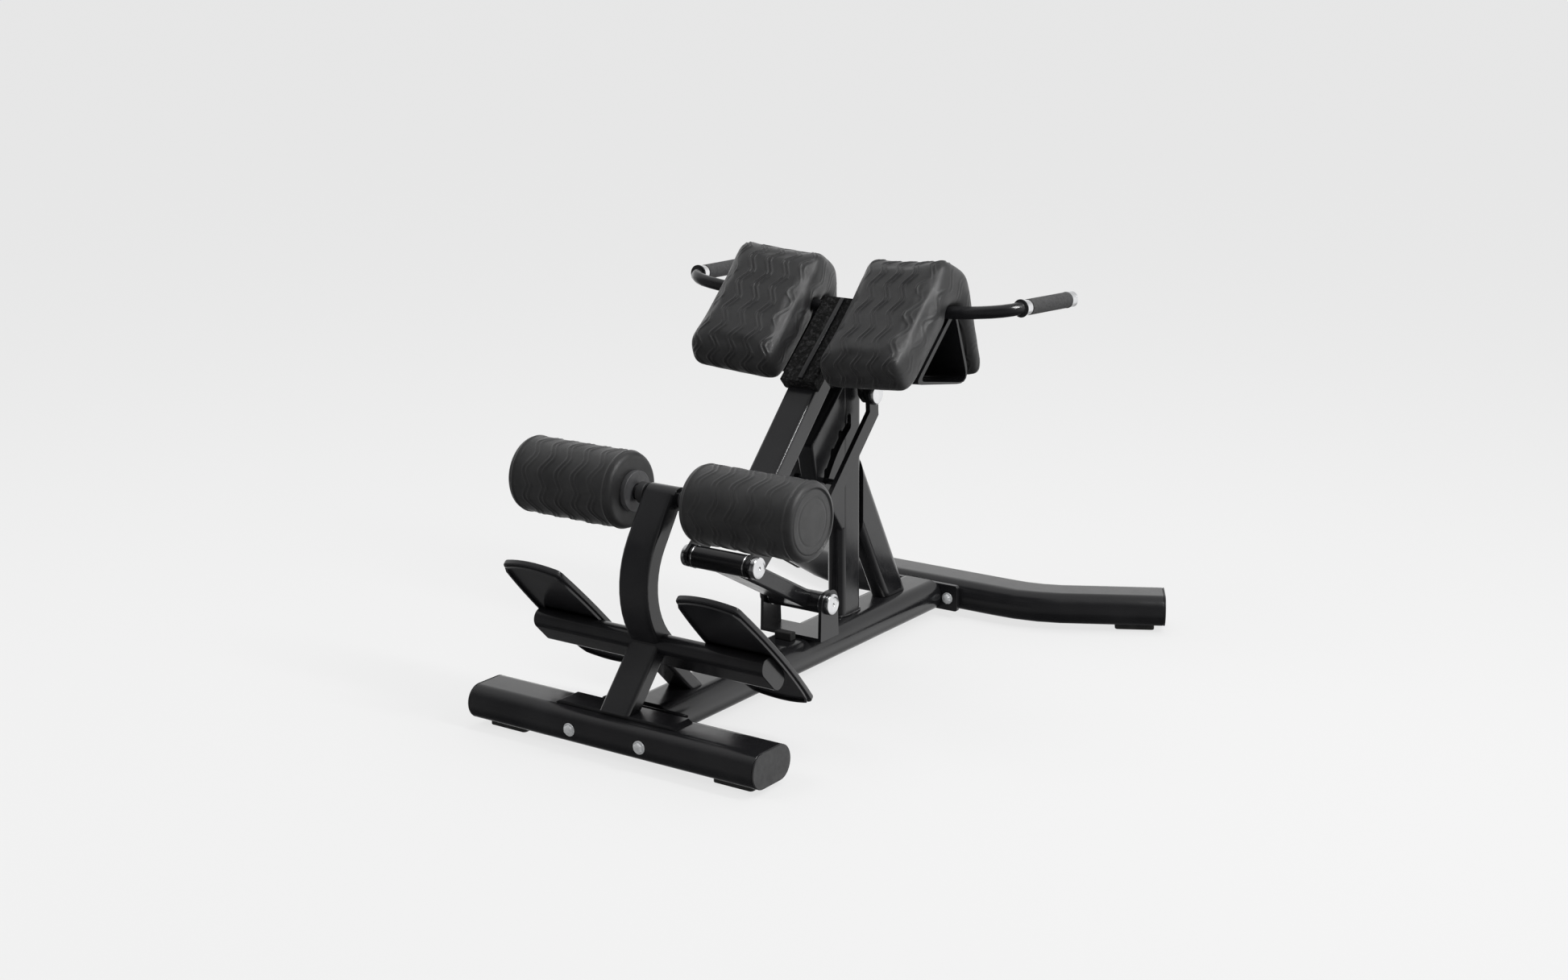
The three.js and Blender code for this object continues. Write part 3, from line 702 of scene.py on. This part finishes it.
def roller_profile(radius, length):
    """Inner face with its bore, piped edges, long side, and an outer face with two sewn circles."""
    edge = ROLLER_EDGE
    turns = [math.radians(a) for a in np.linspace(8, 82, 8)]
    profile = inner_face(radius)
    for turn in turns:
        profile.append((radius - edge + edge * math.sin(turn), edge * (1 - math.cos(turn))))
    for i in range(ROLLER_STEPS + 1):
        profile.append((radius, edge + (length - 2 * edge) * i / ROLLER_STEPS))
    for turn in turns:
        profile.append((radius - edge + edge * math.cos(turn), length - edge * (1 - math.sin(turn))))
    profile += outer_face(radius, length)
    shaped = []
    for r, x in profile:
        bead = sum(hump(x - seam, PIPE_WIDTH) for seam in (PIPE_PLACE, length - PIPE_PLACE))
        shaped.append((r + (PIPE_HEIGHT * bead if r > radius * 0.98 else 0), x))
    return shaped


def emboss_roller(mesh, inner, radius, length):
    """Raises the lines round the roller's side, and makes the side a little uneven."""
    places, _ = coordinates(mesh)
    offset = places - np.array(inner)
    distance = np.abs(offset[:, 0])
    out = np.hypot(offset[:, 1], offset[:, 2])
    around = np.arctan2(offset[:, 2], offset[:, 1]) * radius
    body = rising(out / radius, 0.985, 0.01)
    ends = rising(np.abs(distance - length / 2), length / 2 - PLAIN_END, PLAIN_FADE)
    height = ROLLER_EMBOSSING * embossing(distance, around) * body * (1 - ends)
    waves = np.sin(offset[:, 0] * UNEVEN_ALONG) * np.sin(around * UNEVEN_AROUND)
    unevenness = UNEVEN_HEIGHT * waves
    radial = offset * np.array([0, 1, 1]) / np.maximum(out, 1e-6)[:, None]
    set_coordinates(mesh, places + radial * (height + unevenness * body)[:, None])


def make_roller(side, sign, leather):
    """One roller's cover, from its inner end outwards."""
    low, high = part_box(f"roller_{side}")
    middle = (low + high) / 2
    radius = (high.z - low.z) / 2 - ROLLER_SLACK
    length = high.x - low.x
    inner = Vector((low.x if sign > 0 else high.x, middle.y, middle.z))
    profile = roller_profile(radius, length)
    thing = turned(f"roller_{side}_cover", profile, inner, X * sign, ROLLER_SEGMENTS)
    emboss_roller(thing.data, inner, radius, length)
    thing.data.shade_smooth()
    finish_piece(thing, leather, f"roller_{side}", [f"roller_{side}"])


# ---- small details ---------------------------------------------------------------------
CARRIER_SLOPE = math.radians(41.9)
CARRIER_FOOT = 520 * MM
RAIL_LENGTH = 176 * MM
RAIL_WIDTH = 9 * MM
RAIL_HEIGHT = 6 * MM
RAIL_SIDE = 7 * MM
RAIL_START = 4 * MM
RAIL_LIFT = 1.5 * MM
CAP_EDGE = 0.5 * MM
CAP_ROUND = 3 * MM
CAP_SHOULDER = 3.2 * MM
DIMPLE_DEPTH = 1.4 * MM
DIMPLE_SHOULDER = 0.8 * MM
RING_PLACE = 52 * MM
GRIP_RADIUS = 13.6 * MM
SLEEVE_RADIUS = GRIP_RADIUS + 0.7 * MM
SLEEVE_LENGTH = 13 * MM
SLEEVE_PLACE = 16 * MM
SLEEVE_EDGE = 0.6 * MM
DETAIL_SEGMENTS = 48
FOOT_SLOPE = math.radians(45)
PLATE_THICK = 10 * MM
RIM_INSET = 5 * MM
RIM_DROP = 1.6 * MM
RIM_STEPS = 12
RIM_CORNER = 0.04
SIDE_BOW = 0.16
END_BOW = 0.08
POST_SLOPE = math.radians(46.4)
PLUG_PLACE = 165 * MM
PLUG_SIDE = 11 * MM
POST_FRONT = 6.9 * MM
PLUG_SEGMENTS = 32
OVAL_STEPS = 72
OVAL_SPREAD = 1.6
WELD_RADIUS = 2.2 * MM
WELD_LIFT = 1.2 * MM
WELD_OUTSET = 1 * MM
WELD_UNEVENNESS = 0.25
WELD_WAVES = (1400.0, 1250.0, 900.0)


def sloped(angle):
    """Directions up a slope and straight out of its front face."""
    along = Vector((0, math.cos(angle), math.sin(angle)))
    return along, Vector((0, -math.sin(angle), math.cos(angle)))


def bar_between(name, start, end, out, width, height):
    """A rectangular bar between two places, with its width across X and its height along out."""
    signs = ((-1, -1), (1, -1), (1, 1), (-1, 1))
    corners = [X * (a * width / 2) + out * (b * height / 2) for a, b in signs]
    points = [start + c for c in corners] + [end + c for c in corners]
    faces = [(3, 2, 1, 0), (4, 5, 6, 7)]
    faces += [(k, (k + 1) % 4, (k + 1) % 4 + 4, k + 4) for k in range(4)]
    thing = object_from(name, mesh_of(name, points, faces))
    face_outwards(thing.data)
    rounding = thing.modifiers.new("edges", "BEVEL")
    rounding.width = BAR_ROUNDING
    rounding.segments = ROUNDING_STEPS
    shade(baked(thing))
    return thing


def carrier_rail(paint):
    """The raised strip down the covered plate between the pads."""
    low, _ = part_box("pad_carrier")
    along, out = sloped(CARRIER_SLOPE)
    start = Vector((RAIL_SIDE, low.y, CARRIER_FOOT)) + along * RAIL_START + out * RAIL_LIFT
    end = start + along * RAIL_LENGTH
    rail = bar_between("carrier_rail", start, end, out, RAIL_WIDTH, RAIL_HEIGHT)
    finish_piece(rail, paint, "pad_unit")


def dimpled_cap(name, node, axis, chrome, body):
    """A bright disc with a rounded edge and a hollow in its middle, over the outer face of a cap."""
    low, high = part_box(node)
    middle = (low + high) / 2
    radius = (high.z - low.z) / 2
    length = high.x - low.x
    start = Vector((low.x if axis.x > 0 else high.x, middle.y, middle.z))
    profile = [(0, 0), (radius - CAP_EDGE, 0), (radius, CAP_EDGE), (radius, length - CAP_SHOULDER)]
    for a in (15, 35, 55, 75):
        across, rise = 1 - math.cos(math.radians(a)), 1 - math.sin(math.radians(a))
        profile.append((radius - CAP_ROUND * across, length - CAP_SHOULDER * rise))
    profile += [(radius * 0.5, length), (radius * 0.17, length)]
    profile += [(radius * 0.13, length - DIMPLE_SHOULDER), (0, length - DIMPLE_DEPTH)]
    thing = turned(name, profile, start, axis, DETAIL_SEGMENTS)
    finish_piece(thing, chrome, body, [node])


def make_caps(chrome):
    """The four bright discs over the ends of the two pivot pins."""
    for node, body in (("ground_pin_cap", "frame"), ("link_pin_cap", "pad_unit")):
        for side, sign in SIDES:
            dimpled_cap(f"{node}_{side}_disc", f"{node}_{side}", X * sign, chrome, body)


def link_rings(chrome):
    """Thin bright rings near both ends of the link's cross tubes."""
    places = ((0, 0), (15, 0), (19.4, 0), (19.8, 0.4), (19.8, 1.6), (19.4, 2), (15, 2), (0, 2))
    profile = [(r * MM, x * MM) for r, x in places]
    for pin in ("ground_pin", "link_pin"):
        low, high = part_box(pin)
        middle = (low + high) / 2
        for side, sign in SIDES:
            start = Vector((sign * RING_PLACE, middle.y, middle.z))
            ring = turned(f"{pin}_ring_{side}", profile, start, X * sign, DETAIL_SEGMENTS)
            finish_piece(ring, chrome, "lower_link")


def grip_sleeves(chrome):
    """The bright sleeve over the far end of each foam grip."""
    inside = SLEEVE_RADIUS - SLEEVE_EDGE
    profile = [(0, 0), (inside, 0), (SLEEVE_RADIUS, SLEEVE_EDGE)]
    profile += [(SLEEVE_RADIUS, SLEEVE_LENGTH - SLEEVE_EDGE), (inside, SLEEVE_LENGTH), (0, SLEEVE_LENGTH)]
    for side, _ in SIDES:
        start = sum(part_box(f"handle_ring_{side}"), Vector()) / 2
        end = sum(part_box(f"handle_end_cap_{side}"), Vector()) / 2
        axis = (end - start).normalized()
        place = end - axis * SLEEVE_PLACE
        sleeve = turned(f"grip_sleeve_{side}", profile, place, axis, DETAIL_SEGMENTS)
        finish_piece(sleeve, chrome, "pad_unit")


def plate_outline(low, high, depth):
    """A foot plate's outline, a little inside its edge, on its lower face."""
    along, out = sloped(-FOOT_SLOPE)
    centre = (low + high) / 2
    half = (high.x - low.x) / 2 - depth
    length = (high.z - low.z - PLATE_THICK * math.cos(FOOT_SLOPE)) / math.sin(FOOT_SLOPE) / 2 - depth
    base = centre - out * (PLATE_THICK / 2 + RIM_DROP)
    points = []
    corners = ((1, -1), (1, 1), (-1, 1), (-1, -1))
    for i, (a, b) in enumerate(corners):
        c, d = corners[(i + 1) % 4]
        for k in range(RIM_STEPS):
            t = RIM_CORNER + (1 - 2 * RIM_CORNER) * k / (RIM_STEPS - 1)
            bow = 4 * t * (1 - t)
            x = half * ((1 - SIDE_BOW) * (a + (c - a) * t) + (SIDE_BOW * bow * a if a == c else 0))
            y = length * ((1 - END_BOW) * (b + (d - b) * t) + (END_BOW * bow * b if b == d else 0))
            points.append(base + X * x + along * y)
    return points


def plate_rims(paint):
    """The turned-down rim round the underside of each foot plate."""
    section = [(a * MM, b * MM) for a, b in ((-2.5, -2), (2.5, -2), (2.5, 2), (-2.5, 2))]
    _, out = sloped(-FOOT_SLOPE)
    for side, _ in SIDES:
        low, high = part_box(f"foot_plate_{side}")
        loop = plate_outline(low, high, RIM_INSET)
        rim = swept_loop(f"foot_plate_rim_{side}", loop, section, out)
        finish_piece(rim, paint, "frame")


def post_plugs(plastic):
    """Two round hole plugs side by side on the front face of the pad post."""
    along, out = sloped(POST_SLOPE)
    low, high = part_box("link_pin")
    pivot = Vector((0, (low.y + high.y) / 2, (low.z + high.z) / 2))
    profile = [(r * MM, x * MM) for r, x in ((0, 0), (6, 0), (6, 0.8), (4.6, 1.6), (2, 1.8), (0, 1.8))]
    for side, sign in SIDES:
        centre = pivot + along * PLUG_PLACE + out * POST_FRONT + X * (sign * PLUG_SIDE)
        plug = turned(f"post_plug_{side}", profile, centre, out, PLUG_SEGMENTS)
        finish_piece(plug, plastic, "pad_unit")


def bead(name, loop, radius):
    """A weld bead: a slightly uneven round line along a closed loop."""
    thing = swept_loop(name, loop, round_section(radius, 8))
    places, normals = coordinates(thing.data)
    ripple = WELD_UNEVENNESS * radius * np.sin(places @ np.array(WELD_WAVES))
    set_coordinates(thing.data, places + normals * ripple[:, None])
    return thing


def oval_loop(centre, half_long, half_wide):
    """A flat-oval loop on a level surface, long in Y, with its points spread along the straights."""
    straight = half_long - half_wide
    loop = []
    for k in range(OVAL_STEPS):
        a = 2 * math.pi * k / OVAL_STEPS
        shift = straight * math.copysign(min(1, abs(math.sin(a)) * OVAL_SPREAD), math.sin(a))
        loop.append(centre + Vector((half_wide * math.cos(a), shift + half_wide * math.sin(a), 0)))
    return loop


def column_weld(paint):
    """The weld round the foot of the column."""
    low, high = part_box("column")
    centre = Vector((0, (low.y + high.y) / 2, low.z + WELD_LIFT))
    half_long = (high.y - low.y) / 2 + WELD_OUTSET
    half_wide = (high.x - low.x) / 2 + WELD_OUTSET
    loop = oval_loop(centre, half_long, half_wide)
    finish_piece(bead("column_weld", loop, WELD_RADIUS), paint, "frame")


# ---- assembly --------------------------------------------------------------------------
def make_looks():
    """A material for each of the frame's slots."""
    return {
        "frame_paint": painted_steel(),
        "pad_leather": grained_leather(),
        "chrome": chromed(),
        "rubber": black_rubber(),
        "black_plastic": satin_plastic("black_plastic", (0.018, 0.018, 0.019), (0.026, 0.026, 0.027)),
        "hub_plastic": satin_plastic("grey_plastic", (0.05, 0.05, 0.052), (0.075, 0.075, 0.078)),
        "grip_foam": foam_grip(),
    }


def refine_nodes(looks):
    """Rounds every hard CAD piece that no detailed piece stands for."""
    zinc = zinc_plated()
    special = {f"{end}_bolt_{side}": zinc for end in ("front", "rear") for side, _ in SIDES}
    special["pad_carrier"] = napped_cover()
    capped = {f"{node}_{side}" for node in ("ground_pin_cap", "link_pin_cap") for side, _ in SIDES}
    for part in frame["record"]["subparts"]:
        node, slot = part["node"], part["material_slot"]
        if slot != "pad_leather" and node not in capped:
            refine(node, special.get(node, looks[slot]))


def main():
    add_camera()
    add_stage()
    looks = make_looks()
    refine_nodes(looks)
    make_caps(looks["chrome"])
    carrier_rail(looks["frame_paint"])
    post_plugs(looks["black_plastic"])
    column_weld(looks["frame_paint"])
    link_rings(looks["chrome"])
    grip_sleeves(looks["chrome"])
    plate_rims(looks["frame_paint"])
    make_pads(looks["pad_leather"])
    for side, sign in SIDES:
        make_roller(side, sign, looks["pad_leather"])


main()
